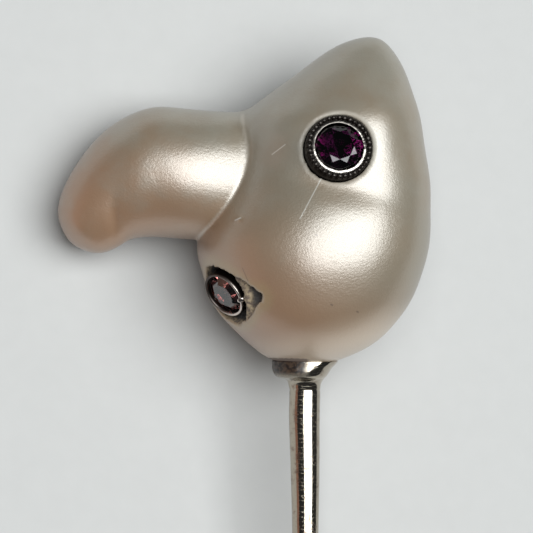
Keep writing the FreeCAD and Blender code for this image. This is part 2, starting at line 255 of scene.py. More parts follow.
# %% Head field
# height, left end, right end, depth, forward in mm, turn in degrees
HEAD = np.array((
    (0.00, -1.07, 1.11, 1.07, 0.00, 0),
    (0.39, -1.73, 2.05, 1.82, 0.04, 4),
    (1.29, -2.71, 3.16, 2.75, 0.11, 8),
    (2.18, -3.36, 3.79, 3.21, 0.14, 9),
    (3.04, -3.63, 4.14, 3.43, 0.18, 9),
    (4.04, -3.86, 4.41, 3.52, 0.18, 9),
    (5.18, -3.54, 4.48, 3.34, 0.18, 10),
    (5.75, -3.29, 4.48, 3.16, 0.18, 11),
    (6.39, -3.04, 4.45, 2.96, 0.18, 12),
    (7.54, -2.61, 4.27, 2.82, 0.14, 14),
    (8.68, -2.27, 4.09, 2.59, 0.11, 14),
    (9.46, -1.39, 3.86, 2.14, 0.07, 12),
    (10.32, -0.21, 3.57, 1.64, 0.04, 8),
    (10.93, 0.61, 3.25, 1.18, 0.00, 4),
    (11.32, 1.29, 2.93, 0.75, 0.00, 0),
))
HEAD_BOTTOM, HEAD_TOP = (0.00, -0.21), (2.29, 11.57)


def with_ends(values, low=None, high=None):
    """A column of a table with one more value at each end, by default the neighbour's."""
    return np.concatenate([[values[0] if low is None else low], values, [values[-1] if high is None else high]])


def head_field(x, y, z):
    """u^2 + q v^2 - A, with u along the ellipse's long axis, A its square and q its squared proportion."""
    height, left, right_end, depth, forward, turn = HEAD.T
    turn = np.radians(turn)
    across = ((right_end - left) ** 2 / 4 - (depth * np.sin(turn)) ** 2) / np.cos(turn) ** 2
    knots = with_ends(height, HEAD_BOTTOM[1], HEAD_TOP[1])
    middle = spline(knots, with_ends((left + right_end) / 2, HEAD_BOTTOM[0], HEAD_TOP[0]), z)
    reach = spline(knots, with_ends(across, 0.0, 0.0), z)
    share = spline(knots, with_ends(across / depth ** 2), z)
    front = spline(knots, with_ends(forward), z)
    angle = spline(knots, with_ends(turn), z)
    along, aside = x - middle, y + front
    u = along * np.cos(angle) - aside * np.sin(angle)
    v = along * np.sin(angle) + aside * np.cos(angle)
    return u ** 2 + share * v ** 2 - reach


print(f"head: {len(HEAD)} levels from {HEAD_BOTTOM[1]} to {HEAD_TOP[1]} mm")

# %% [markdown]
# ## The beak lobe
#
# The beak is a second stack of ellipses, but these turn with the hook: each one
# spans from a point on the beak's back to a point on its underside. For a point
# of space the field first finds the section that passes through it, as seen from
# the side, and then measures it against that section's ellipse.

# %% Beak field
# back x, back z, underside x, underside z, depth in mm
BEAK = np.array((
    (-1.18, 8.11, -1.25, 4.89, 1.18),
    (-2.11, 8.77, -2.25, 4.32, 1.75),
    (-3.32, 8.93, -3.54, 4.31, 2.14),
    (-4.54, 9.04, -4.64, 4.38, 2.23),
    (-5.39, 9.06, -5.32, 4.43, 2.16),
    (-6.25, 8.79, -5.89, 4.41, 2.04),
    (-7.11, 8.25, -6.32, 4.30, 1.82),
    (-7.82, 7.50, -6.57, 4.14, 1.64),
    (-8.39, 6.64, -6.79, 4.02, 1.46),
    (-8.75, 5.82, -7.00, 3.93, 1.25),
    (-8.80, 5.11, -7.29, 3.86, 0.96),
    (-8.64, 4.64, -7.64, 3.88, 0.61),
))
BEAK_ROOT, BEAK_TIP = (-0.61, 6.46), (-8.27, 4.16)
BEAK_REACH = 1.5
BEAK_SAMPLES = 420
FAR_OUTSIDE = 30.0


def beak_field(x, y, z):
    """u^2 + q y^2 - A on a grid: u along the section through (x, z), A its squared half length."""
    back, under, depth = BEAK[:, 0:2], BEAK[:, 2:4], BEAK[:, 4]
    span = back - under
    centres = np.vstack([BEAK_ROOT, (back + under) / 2, BEAK_TIP])
    knots = np.concatenate([[0], np.cumsum(np.linalg.norm(np.diff(centres, axis=0), axis=1))])
    long_half = (span ** 2).sum(1) / 4
    s = np.linspace(-BEAK_REACH, knots[-1] + BEAK_REACH, BEAK_SAMPLES)
    centre = np.stack([spline(knots, centres[:, 0], s), spline(knots, centres[:, 1], s)])
    lean = spline(knots, with_ends(np.arctan2(span[:, 1], span[:, 0])), np.clip(s, 0, knots[-1]))
    section = np.stack([np.cos(lean), np.sin(lean)])
    onward = np.stack([-section[1], section[0]])
    shape = (x.shape[0], 1, z.shape[2])
    flat = np.stack([np.broadcast_to(x, shape).ravel(), np.broadcast_to(z, shape).ravel()])
    ahead = flat.T @ onward - (centre * onward).sum(0)
    along = flat.T @ section - (centre * section).sum(0)
    cross = (ahead[:, :-1] > 0) & (ahead[:, 1:] <= 0)
    part = np.where(cross, ahead[:, :-1] / np.where(cross, ahead[:, :-1] - ahead[:, 1:], 1), 0)
    between = along[:, :-1] + part * (along[:, 1:] - along[:, :-1])
    best = np.where(cross, np.abs(between), np.inf).argmin(1)
    pick = np.arange(len(best))
    u = between[pick, best].reshape(shape)
    at = (s[best] + part[pick, best] * (s[1] - s[0])).reshape(shape)
    met = cross[pick, best].reshape(shape)
    reach = spline(knots, with_ends(long_half, 0.0, 0.0), at)
    share = spline(knots, with_ends(long_half / depth ** 2), at)
    return np.where(met, u ** 2 + share * y ** 2 - reach, FAR_OUTSIDE)


print(f"beak: {len(BEAK)} sections")

# %% [markdown]
# ## The pearl as one field
#
# Each field is divided by its own steepness, which makes it nearly a distance in
# millimetres. Then the lobes can be joined with a fillet: sharp where the beak's
# underside meets the cheek, wide at the top, where the fold fades out.

# %% Both lobes on a grid
STEP = 0.075
LOW = np.array([-9.2, -3.95, -0.6])
HIGH = np.array([4.9, 3.75, 11.95])
LEAST_SLOPE = 0.6
FOLD_SHARP, FOLD_SOFT = 0.12, 0.55
FOLD_LOW, FOLD_TOP = 5.8, 9.4

axes = [np.arange(low, high, STEP) for low, high in zip(LOW, HIGH)]
X, Y, Z = np.meshgrid(*axes, indexing="ij", sparse=True)


def distance(field):
    """A field over the length of its gradient: close to a distance near where it is zero."""
    steep = np.sqrt(sum(g ** 2 for g in np.gradient(field, STEP)))
    return (field / np.maximum(steep, LEAST_SLOPE)).astype(np.float32)


def joined(a, b, fillet):
    """The union of two solids with a fillet: the smaller distance, less a little where both are close."""
    share = np.clip(0.5 + 0.5 * (b - a) / fillet, 0, 1)
    return b + (a - b) * share - fillet * share * (1 - share)


def carved(solid, tool, fillet):
    """The solid without the tool, its edge rounded."""
    return -joined(-solid, tool, fillet)


fold = FOLD_SHARP + (FOLD_SOFT - FOLD_SHARP) * fade(Z, FOLD_LOW, FOLD_TOP)
head, beak = distance(head_field(X, Y, Z)), distance(beak_field(X, Y, Z))
lobes_apart = beak - head
whole = joined(head, beak, fold)
print(f"grid {whole.shape}, inside: {(whole < 0).sum() * STEP ** 3:.0f} mm3")

# %% [markdown]
# ## Swellings and dips
#
# The two lobes alone are too even. On the real pearl the brow stands out to the
# right of the eye, shallow dips run across below it and along the beak, where they
# widen the highlights, and a soft fold goes round the end of the beak. Each is a
# rounded hill or hollow added to the field of the front.

# %% Relief of the front
# x, z, half width, half height, rise and slope of each, in mm
RELIEF = (
    (1.3, 6.15, 2.3, 0.52, -0.08, -0.22),
    (2.85, 7.8, 0.95, 1.35, 0.10, 0.0),
    (2.45, 9.2, 1.05, 0.85, 0.12, 0.0),
    (-0.6, 7.9, 0.75, 0.90, 0.05, 0.0),
    (1.20, 4.25, 1.60, 1.30, -0.06, 0.0),
    (-3.50, 6.80, 1.60, 0.85, -0.055, 0.0),
    (-6.75, 5.05, 0.20, 0.62, -0.08, 0.0),
    (-2.36, 5.05, 0.13, 0.09, 0.05, 0.0),
)
RELIEF_BACK, RELIEF_FRONT = 0.4, -0.8

for spot_x, spot_z, wide, high, rise, slope in RELIEF:
    aside = Z - spot_z - slope * (X - spot_x)
    hill = rise * np.exp(-((X - spot_x) / wide) ** 2 - (aside / high) ** 2)
    whole = whole - hill.astype(np.float32) * fade(Y, RELIEF_BACK, RELIEF_FRONT)
pearl = whole.copy()
print(f"{len(RELIEF)} swellings and dips")

# %% [markdown]
# ## Seats in the pearl
#
# The jeweller drilled a round seat for the eye's collet, and broke or ground a
# ragged leaf-shaped recess for the mouth. Both are tools in the same field. Near
# them the grid's points are turned into the frame of the collet, whose Z axis
# looks out of the pearl.


# %% Frames of the two collets
class Collet:
    """A local frame: origin on the skin, Z outward, X towards the low side."""

    def __init__(self, origin, outward_axis, low_side):
        """Makes the axes square: Z exactly outward, Y across both, X what is left."""
        self.origin = np.array(origin, float)
        z = np.array(outward_axis, float) / np.linalg.norm(outward_axis)
        y = np.cross(z, low_side)
        y /= np.linalg.norm(y)
        self.axes = np.stack([np.cross(y, z), y, z])

    def inside(self, points):
        """Upright points as seen in the frame."""
        return (points - self.origin) @ self.axes.T

    def upright(self, points):
        """Points of the frame as upright points."""
        return points @ self.axes + self.origin


EYE = Collet((1.16, -3.00, 7.55), (0.15, -0.95, 0.26), (1, 0, 0))
MOUTH = Collet((-2.91, -1.40, 2.34), (-0.635, -0.565, -0.528), (0.64, 0, -0.77))


def around(collet, reach):
    """The slices of the grid near a collet, its points there, and the same in the collet's frame."""
    slices, spans = [], []
    for axis, centre in zip(axes, collet.origin):
        near = np.flatnonzero(np.abs(axis - centre) < reach)
        slices.append(slice(near[0], near[-1] + 1))
        spans.append(axis[near])
    points = np.stack(np.meshgrid(*spans, indexing="ij"), -1)
    return tuple(slices), points, collet.inside(points)


def bored(local, radius, depth):
    """Distance from a round hole of that radius and depth in a collet's frame."""
    return np.maximum(np.hypot(local[..., 0], local[..., 1]) - radius, -(local[..., 2] + depth))


print("the eye looks along", EYE.axes[2].round(2), "and the mouth along", MOUTH.axes[2].round(2))

# %% [markdown]
# ## Cutting the seats
#
# A drill leaves a clean edge, broken nacre a ragged one. So the holes are exact
# and the recess gets noise. Its floor follows the pearl's skin, deeper round the
# collet, on the collet's low side and in a pit near the corner.

# %% Carve the seats
EYE_REACH, MOUTH_REACH = 2.6, 4.2
EYE_SEAT, EYE_DEPTH, EYE_EDGE = 1.195, 0.98, 0.045
SOCKET, SOCKET_DEPTH, SOCKET_EDGE = 0.90, 0.98, 0.04
RECESS, RECESS_TIP, RECESS_REACH, RECESS_EDGE = 1.10, 0.20, 2.08, 0.05
RECESS_ANGLE = math.radians(64)
RECESS_FLOOR, WELL_DEPTH, LOW_DEPTH, PIT_DEPTH = 0.15, 0.9, 0.4, 0.55
WELL_WALL, LOW_WALL, LOW_END = (1.16, 0.98), (0.55, 0.95), (0.9, 0.6)
PIT_ALONG, PIT_INSET, PIT_SIZE = 1.62, 0.3, 0.22
PEG_HOLE, PEG_TOP, PEG_EDGE = 0.37, 2.62, 0.02


def leaf(local):
    """Distance from the recess's outline, seen along the mouth's axis, and how far along the leaf a point is."""
    corner = np.array([math.cos(RECESS_ANGLE), math.sin(RECESS_ANGLE)])
    length = RECESS_REACH - RECESS_TIP
    along = local[..., :2] @ corner
    share = np.clip(along / length, 0, 1)
    beside = local[..., :2] - share[..., None] * length * corner
    width = RECESS_TIP + (RECESS - RECESS_TIP) * (1 - share ** 2)
    return np.hypot(beside[..., 0], beside[..., 1]) - width, along


near, _, local = around(EYE, EYE_REACH)
pearl[near] = carved(pearl[near], bored(local, EYE_SEAT, EYE_DEPTH), EYE_EDGE)

near, points, local = around(MOUTH, MOUTH_REACH)
edge, along = leaf(local)
well = fade(np.hypot(local[..., 0], local[..., 1]), *WELL_WALL)
low_side = fade(local[..., 0], *LOW_WALL) * fade(along, *LOW_END)
pit = np.exp(-((along - PIT_ALONG) / PIT_SIZE) ** 2 - ((edge + PIT_INSET) / PIT_SIZE) ** 2)
depth = (RECESS_FLOOR + WELL_DEPTH * well + PIT_DEPTH * pit + LOW_DEPTH * low_side
         + uneven(points, (0.10, 0.22, 5), (0.05, 0.10, 6)))
ragged = edge + uneven(points, (0.06, 0.34, 3), (0.05, 0.15, 4))
recess = np.maximum(ragged, -(whole[near] + depth))
pearl[near] = carved(carved(pearl[near], recess, RECESS_EDGE), bored(local, SOCKET, SOCKET_DEPTH), SOCKET_EDGE)

drilled = np.maximum(np.hypot(X, Y) - PEG_HOLE, Z - PEG_TOP)
pearl = carved(pearl, drilled.astype(np.float32), PEG_EDGE)
print(f"seats carved, inside: {(pearl < 0).sum() * STEP ** 3:.0f} mm3")

# %% [markdown]
# ## The skin of the field
#
# A skin is found where the field changes sign between two neighbours of the
# grid. Each small cube that holds such a crossing gets one point, the mean of its
# crossings, and each crossing edge one quad between its four cubes. Where the
# corners of a grid face are inside and outside crosswise, the skin would touch
# itself, so such faces are filled first. Two steps down the slope of the field
# then put every point on the skin itself. Marching through the cubes one by one
# would take minutes; whole arrays take seconds.

# %% Surface net
def skin(field):
    """Points (in grid steps) and quads of the surface where the field is zero."""
    shape = np.array(field.shape)
    cells, crossings, quads = [], [], []
    for axis in range(3):
        low = field[tuple(slice(0, -1) if a == axis else slice(None) for a in range(3))]
        high = field[tuple(slice(1, None) if a == axis else slice(None) for a in range(3))]
        spots = np.argwhere((low < 0) != (high < 0))
        a, b = low[tuple(spots.T)], high[tuple(spots.T)]
        points = spots.astype(float)
        points[:, axis] += a / (a - b)
        corners = []
        for one, two in ((0, 0), (-1, 0), (-1, -1), (0, -1)):
            shift = np.zeros(3, int)
            shift[(axis + 1) % 3], shift[(axis + 2) % 3] = one, two
            corners.append(np.ravel_multi_index((spots + shift).T, shape))
        corners = np.stack(corners, -1)
        quads.append(np.where((a < 0)[:, None], corners, corners[:, ::-1]))
        cells.append(corners.ravel())
        crossings.append(np.repeat(points, 4, axis=0))
    quads = np.vstack(quads)
    names, place = np.unique(np.concatenate(cells), return_inverse=True)
    crossings = np.vstack(crossings)
    count = np.bincount(place)
    points = np.stack([np.bincount(place, crossings[:, k]) / count for k in range(3)], -1)
    return points, np.searchsorted(names, quads)


def sampled(field, points):
    """The field between the grid's points, from the eight around each."""
    low = np.clip(np.floor(points).astype(int), 0, np.array(field.shape) - 2)
    part = points - low
    total = np.zeros(len(points))
    for corner in itertools.product((0, 1), repeat=3):
        total += np.prod(np.where(corner, part, 1 - part), axis=1) * field[tuple((low + corner).T)]
    return total


FILLED = -0.2 * STEP
SETTLING_STEPS = 2
FLATTEST, LONGEST_STEP = 1e-4, 0.5


def uncrossed(field):
    """The field with each grid face filled whose corners are inside and outside crosswise."""
    field = field.copy()
    for _, (one, two) in itertools.product(range(4), ((0, 1), (0, 2), (1, 2))):
        views = {}
        for i, j in itertools.product((0, 1), repeat=2):
            cut = [slice(None)] * 3
            cut[one] = slice(i, field.shape[one] - 1 + i)
            cut[two] = slice(j, field.shape[two] - 1 + j)
            views[i, j] = field[tuple(cut)]
        a, b, c, d = (views[spot] < 0 for spot in ((0, 0), (1, 1), (0, 1), (1, 0)))
        crossed = (a == b) & (c == d) & (a != c)
        for view in views.values():
            view[crossed] = np.minimum(view[crossed], FILLED)
    return field


pearl = uncrossed(pearl)
net, quads = skin(pearl)
slopes = np.gradient(pearl)
for _ in range(SETTLING_STEPS):
    slope = np.stack([sampled(g, net) for g in slopes], -1)
    step = sampled(pearl, net) / np.maximum((slope ** 2).sum(1), FLATTEST)
    net -= slope * step[:, None].clip(-LONGEST_STEP, LONGEST_STEP)
pearl_points = net * STEP + [axis[0] for axis in axes]
print(f"skin: {len(net)} points, {len(quads)} quads")

# %% [markdown]
# ## The pearl's masks
#
# The finish has to know where nacre is broken, chipped at the recess's rim, pale
# round the eye's seat or dirty near the cup, and where painted light goes: painted
# shade in the deepest part of the recess and a painted highlight along the fold
# between the lobes. The same fields tell it: each mask is a number from 0 to 1 on
# every point.

# %% Pearl piece
BROKEN, DEEP, UNBROKEN = (0.03, 0.10), (0.20, 0.42), (0.12, 0.03)
NEAR_LEAF, OUT_OF_SOCKET = (0.45, 0.2), (-1.3, -0.9)
CHIPS, CHIP_BAND = 0.10, (0.46, 0.06)
HALO, HALO_BAND, HALO_HEIGHT = 1.26, (0.14, 0.02), (-0.7, -0.4)
CREASE, CREASE_BAND, CREASE_BACK, CREASE_RIGHT = -0.03, (0.11, 0.02), (-0.3, -0.9), (0.2, -0.8)
SMEAR, SMEAR_HEIGHT, SMEAR_RIGHT, SMEAR_BACK = (1.55, 1.15), (0.6, 0.15), (0.5, -0.2), (0.6, -0.2)

x, y, z = pearl_points.T
local = MOUTH.inside(pearl_points)
edge, _ = leaf(local)
sunk = -sampled(whole, net)
outside = fade(local[:, 2], *OUT_OF_SOCKET)
from_eye = EYE.inside(pearl_points)
eye_radius = np.hypot(from_eye[:, 0], from_eye[:, 1])
masks = {
    "broken": fade(sunk, *BROKEN) * fade(edge, *NEAR_LEAF) * outside,
    # The deepest part of the recess, where shade is painted in.
    "deep_shade": fade(sunk, *DEEP) * fade(edge, *NEAR_LEAF) * outside,
    "chipped": fade(np.abs(edge - CHIPS), *CHIP_BAND) * fade(sunk, *UNBROKEN) * outside,
    "halo": fade(np.abs(eye_radius - HALO), *HALO_BAND) * fade(from_eye[:, 2], *HALO_HEIGHT),
    # The fold between the lobes, where a painted highlight goes.
    "crease_highlight": (fade(np.abs(sampled(lobes_apart, net) - CREASE), *CREASE_BAND)
               * fade(y, *CREASE_BACK) * fade(x, *CREASE_RIGHT)),
    "smear": fade(np.hypot(x, y), *SMEAR) * fade(z, *SMEAR_HEIGHT) * fade(x, *SMEAR_RIGHT) * fade(y, *SMEAR_BACK),
}
piece("pearl_skin", [(pearl_points, quads, np.zeros((0, 3), int))], "pearl", "nacre", **masks)
print("mean of each mask:", ", ".join(f"{name} {mask.mean():.4f}" for name, mask in masks.items()))

# %% [markdown]
# ## Shapes turned on a lathe
#
# Both collets are short tubes, so each is a closed profile turned about its axis,
# which leaves no open ends. The pin will be a stack of rings.

# %% Profiles turned round
def resampled(profile, spacing):
    """A closed profile with more points on it, evenly along each side."""
    profile = np.asarray(profile, float)
    rows = []
    for start, end in zip(profile, np.roll(profile, -1, axis=0)):
        count = max(1, math.ceil(np.linalg.norm(end - start) / spacing))
        rows.append(start + (end - start) * np.arange(count)[:, None] / count)
    return np.vstack(rows)


def arc(centre, radius, start, end, count):
    """Points on an arc of a profile, angles in degrees from outward to up."""
    angle = np.radians(np.linspace(start, end, count))
    return [(centre[0] + radius * math.cos(a), centre[1] + radius * math.sin(a)) for a in angle]


def turned(profile, around_count):
    """A profile of (radius, height) turned about the axis, as a grid in the collet's frame."""
    radius, height = np.asarray(profile, float).T[:, :, None]
    angle = whole_turn(around_count)
    return np.stack([radius * np.cos(angle), radius * np.sin(angle), height + 0 * angle], -1)


# %% [markdown]
# ## The eye's collet
#
# It is soldered up from sheet and let into the pearl. Its top edge is millgrained:
# a small wheel rolls a row of beads into it. Inside the beads a smooth lip slopes
# gently outward and holds the stone. The lip is worn a little bright all round,
# and a painted highlight makes it brighter at the lower right, towards the light.
# The beads swell the profile where they are, and no two are alike.

# %% Eye collet piece
BEADS, BEAD_STEPS = 36, 12
BEAD, BEAD_CIRCLE, BEAD_HEIGHT = 0.10, 1.075, 0.095
BEAD_SIZES, BEAD_SHIFT, LEAST_BEAD = (-0.28, 0.06), 0.25, 0.42
BEAD_SHARE = 0.4
BEAD_RUBBED, BEAD_TOP = 0.07, (0.13, 0.18)
# LIP_RUBBED is wear all round the lip; the last three numbers on this line paint a highlight on one side of it.
LIP_RUBBED, LIP_HIGHLIGHT, LIP_HIGHLIGHT_SIDE, LIP_HIGHLIGHT_FADE = 0.35, 0.6, math.radians(65), (-0.5, 0.3)

wall = [(1.17, -0.95), (1.17, -0.40), (1.165, 0.02)]
bead_arc = arc((BEAD_CIRCLE, BEAD_HEIGHT), BEAD, -30, 190, 14)
groove = [(0.985, 0.050)]
lip = [(0.980, 0.088), (0.972, 0.098), (0.925, 0.108), (0.880, 0.118), (0.866, 0.112), (0.862, 0.08)]
bore = [(0.865, 0.045), (0.93, 0.03), (0.93, -0.05), (0.36, -0.56), (0.35, -0.95)]
bead_rows = slice(len(wall), len(wall + bead_arc))
lip_rows = slice(len(wall + bead_arc + groove), len(wall + bead_arc + groove + lip))

grid = turned(wall + bead_arc + groove + lip + bore, BEADS * BEAD_STEPS)
angle = whole_turn(BEADS * BEAD_STEPS)
rng = np.random.default_rng(7)
bead_size = 1 + rng.uniform(*BEAD_SIZES, BEADS)
bead_shift = rng.uniform(-BEAD_SHIFT, BEAD_SHIFT, BEADS)
along_ring = angle / (2 * np.pi) * BEADS + 0.5
bead = along_ring.astype(int) % BEADS
offset = along_ring % 1 - 0.5 + bead_shift[bead] * BEAD_SHARE
arc_length = offset * 2 * np.pi * BEAD_CIRCLE / BEADS
swell = np.sqrt(np.clip((BEAD * bead_size[bead]) ** 2 - arc_length ** 2, (LEAST_BEAD * BEAD) ** 2, None)) / BEAD
ring = turned([(BEAD_CIRCLE, BEAD_HEIGHT)], BEADS * BEAD_STEPS)
grid[bead_rows] = ring + (grid[bead_rows] - ring) * swell[:, None]
worn = EYE.upright(grid)
worn = worn + uneven(worn, (0.012, 0.30, 11), (0.006, 0.09, 13))[..., None] * EYE.axes[2]
wear_and_highlight = np.zeros(grid.shape[:2])
wear_and_highlight[bead_rows] = BEAD_RUBBED * fade(grid[bead_rows][..., 2], *BEAD_TOP)
# Painted highlight: on the side towards the light the lip is barer, so brighter; the rest of the mask is wear.
wear_and_highlight[lip_rows] = LIP_RUBBED + LIP_HIGHLIGHT * fade(np.cos(angle + LIP_HIGHLIGHT_SIDE), *LIP_HIGHLIGHT_FADE)
piece("beaded_collet", [grid_shape(worn, loop=True)], "eye_collet", "dark_silver", raised=wear_and_highlight.ravel())

# %% [markdown]
# ## The mouth's collet and its claw
#
# A plainer tube with a rounded rim, sunk in the recess. One claw, a bit of wire
# soldered to its side, is bent over the rim near the recess's corner.

# %% Mouth collet piece
MOUTH_AROUND, MOUTH_SPACING = 200, 0.06
# RIM_RUBBED is wear all round the rim; the last two numbers on this line paint a highlight along one arc of it.
RIM_HEIGHTS, RIM_RUBBED, RIM_HIGHLIGHT, RIM_HIGHLIGHT_SIDE = (-0.10, -0.02), 0.08, 0.92, 0.35
INNER_WALL, INNER_RUBBED = 0.745, 0.8

mouth_profile = (
    [(0.87, -0.95), (0.87, -0.50), (0.87, -0.14)]
    + arc((0.815, -0.055), 0.055, 0, 180, 11)
    + [(0.755, -0.12), (0.735, -0.20), (0.76, -0.215), (0.76, -0.265)]
    + [(0.36, -0.62), (0.35, -0.95)]
)
grid = turned(resampled(mouth_profile, MOUTH_SPACING), MOUTH_AROUND)
rim = MOUTH.upright(grid)
rim = rim + uneven(rim, (0.010, 0.25, 12))[..., None] * MOUTH.axes[2]
# Painted highlight: the rim is barer, so brighter, along the arc towards the light; the rest is wear.
highlight_arc = 0.5 + 0.5 * np.cos(whole_turn(MOUTH_AROUND) - RIM_HIGHLIGHT_SIDE)
wear_and_highlight = fade(grid[..., 2], *RIM_HEIGHTS) * (RIM_RUBBED + RIM_HIGHLIGHT * highlight_arc ** 2)
wear_and_highlight[np.hypot(grid[..., 0], grid[..., 1]) < INNER_WALL] = INNER_RUBBED

CLAW_ROWS, CLAW_AROUND = 22, 24
CLAW_ANGLE = math.radians(55)
CLAW_FOOT, CLAW_LENGTH = -0.34, 0.47
CLAW_CIRCLE, CLAW_BEND, BENT = 0.95, 0.10, (0.6, 1.0)
CLAW_RADIUS, CLAW_FLAT, TIP_FROM, TIP_LENGTH, LEAST_TIP = 0.105, 0.8, 0.72, 0.30, 0.01
CLAW_RUBBED = (0.3, 0.8)

claw_out = np.array([math.cos(CLAW_ANGLE), math.sin(CLAW_ANGLE), 0])
share = np.linspace(0, 1, CLAW_ROWS)
lean = (CLAW_CIRCLE - CLAW_BEND * fade(share, *BENT))[:, None, None]
tip = np.clip((share - TIP_FROM) / TIP_LENGTH, 0, 1)
width = (CLAW_RADIUS * np.sqrt(np.clip(1 - tip ** 2, LEAST_TIP, 1)))[:, None, None]
angle = whole_turn(CLAW_AROUND)[:, None]
claw = lean * claw_out + width * (np.cos(angle) * claw_out * CLAW_FLAT
                                  + np.sin(angle) * np.cross([0, 0, 1], claw_out))
claw[..., 2] = (CLAW_FOOT + CLAW_LENGTH * share)[:, None]
shapes = [grid_shape(rim, loop=True), grid_shape(MOUTH.upright(claw))]
claw_rubbed = np.repeat(fade(share, *CLAW_RUBBED), CLAW_AROUND)
piece("clawed_collet", shapes, "mouth_collet", "old_silver",
      raised=np.concatenate([wear_and_highlight.ravel(), claw_rubbed, [0.0, 1.0]]))

# %% [markdown]
# ## Cup, peg and stem
#
# A small cup holds the pearl from below, its peg glued into the drilled hole. The
# cup leans a little to the left, has a barrel-shaped front and was soldered to the
# stem, which is filed to a taper and drawn out into a point. All of it is one
# stack of rings from the top of the peg to the tip of the point; below the cup's
# rim the middle of each ring wanders as on the real pin. The rim follows the
# pearl's underside.

# %% Sizes of the pin
# height, middle, radius across and radius from front to back, in mm
CUP = np.array((
    (0.05, 0.00, 1.185, 1.060),
    (-0.10, -0.05, 1.125, 1.095),
    (-0.25, -0.11, 1.060, 1.115),
    (-0.41, -0.135, 0.990, 1.110),
    (-0.53, -0.135, 0.915, 1.060),
    (-0.60, -0.10, 0.810, 0.950),
    (-0.64, -0.04, 0.710, 0.820),
    (-0.71, -0.01, 0.635, 0.680),
    (-0.84, -0.02, 0.580, 0.590),
    (-1.02, -0.01, 0.556, 0.556),
    (-1.20, -0.01, 0.552, 0.552),
))
CUP_ROWS, RIM_ROWS = 71, 4
RIM, RIM_GAP, RIM_ROUND = 1.18, 0.03, 0.012
SEAM, SEAM_WIDTH, SEAM_DEPTH = -1.03, 0.03, 0.016
# height, middle and radius of the stem from the cup down, in mm
STEM = np.array((
    (-1.20, -0.01, 0.552),
    (-1.54, -0.02, 0.555),
    (-3.00, -0.01, 0.540),
    (-4.40, 0.01, 0.510),
    (-6.10, 0.01, 0.475),
    (-25.0, 0.00, 0.475),
    (-43.5, 0.00, 0.475),
))
STEM_FOOT, STEM_RADIUS = -43.5, 0.475
STEM_END, POINT_RADIUS, POINT_ROWS = -47.5, 0.04, np.linspace(0.06, 1, 26)
STEM_ROWS = np.concatenate([np.linspace(-1.23, -6.5, 50), np.linspace(-7, STEM_FOOT, 120)])
PEG, PEG_HEIGHT, PEG_ROUND = 0.35, 2.60, 0.04
PEG_ROWS = ((PEG - PEG_ROUND, PEG_HEIGHT), (PEG, PEG_HEIGHT - PEG_ROUND), (PEG, 1.6), (PEG, 0.6), (PEG, -0.15))
CUP_FLOOR, CUP_GAP = (0.40, 0.60, 0.80, 1.00), 0.02
AROUND = 96
print(f"pin from {PEG_HEIGHT} to {STEM_END} mm, {AROUND} points round")


# %% Pin piece
UNDERSIDE = (HEAD_BOTTOM[1] - 0.05, 1.5)
HALVINGS = 24
WORN_BELOW = (-0.2, -0.8)
RESIDUE_HEIGHT, RESIDUE_LEFT, RESIDUE_FRONT = (-0.66, -0.35), (0.20, -0.15), (0.9, 0.2)


def underside(x, y):
    """The height of the head's lower skin above a point, found by halving the interval."""
    low, high = (np.full(x.shape, end) for end in UNDERSIDE)
    for _ in range(HALVINGS):
        middle = (low + high) / 2
        outside = head_field(x, y, middle) > 0
        low, high = np.where(outside, middle, low), np.where(outside, high, middle)
    return low


def level_ring(radius, height, middle=0.0):
    """One ring of the pin; the radius may be one number or one for each of X and Y."""
    return np.column_stack([circle * radius + [middle, 0], height + np.zeros(AROUND)])


angle = whole_turn(AROUND)
circle = np.stack([np.cos(angle), np.sin(angle)], -1)
rows = [level_ring(radius, height) for radius, height in PEG_ROWS]
rows += [level_ring(radius, underside(*(circle * radius).T) - CUP_GAP) for radius in CUP_FLOOR]
rim_height = underside(*(circle * RIM).T) - RIM_GAP
number = np.arange(len(CUP))
for at in np.linspace(0, number[-1], CUP_ROWS):
    z, middle, radius, depth = (spline(number, column, at) for column in CUP.T)
    less = RIM_ROUND * (at == 0) + SEAM_DEPTH * math.exp(-((z - SEAM) / SEAM_WIDTH) ** 2)
    z = z + (rim_height - CUP[0, 0]) * (1 - fade(at, 0, RIM_ROWS))
    rows.append(level_ring([radius - less, depth - less], z, middle))
heights, middles, radii = STEM[::-1].T
rows += [level_ring(spline(heights, radii, z), z, spline(heights, middles, z)) for z in STEM_ROWS]
for share in POINT_ROWS:
    rows.append(level_ring(STEM_RADIUS + (POINT_RADIUS - STEM_RADIUS) * share,
                           STEM_FOOT + (STEM_END - STEM_FOOT) * share))
grid = np.array(rows)
wobble = uneven(grid, (0.009, 0.7, 21), (0.005, 0.3, 22)) * fade(grid[..., 2], *WORN_BELOW)
grid = grid + (grid - grid.mean(1, keepdims=True)) * wobble[..., None]
points, quads, tris = grid_shape(grid)
x, y, z = points.T
residue = fade(z, *RESIDUE_HEIGHT) * fade(x, *RESIDUE_LEFT) * fade(y, *RESIDUE_FRONT)
piece("cup_and_stem", [(points, quads, tris)], "pin", "white_gold", residue=residue)

# %% [markdown]
# ## Finishes
#
# Each finish is a small network of nodes. Effects that several of them use are
# groups, made once: fine grain, tarnish that gathers in patches, and hairline
# scratches. They read Object coordinates in metres, so a scale of 4000 means a
# pattern of about a quarter of a millimetre.


# %% Helpers for nodes
def wired(made, links):
    """Sets a node's inputs, each to a plain value or from another node's output."""
    for name, value in links.items():
        if isinstance(value, bpy.types.NodeSocket):
            made.id_data.links.new(value, made.inputs[name])
        else:
            made.inputs[name].default_value = value
    return made


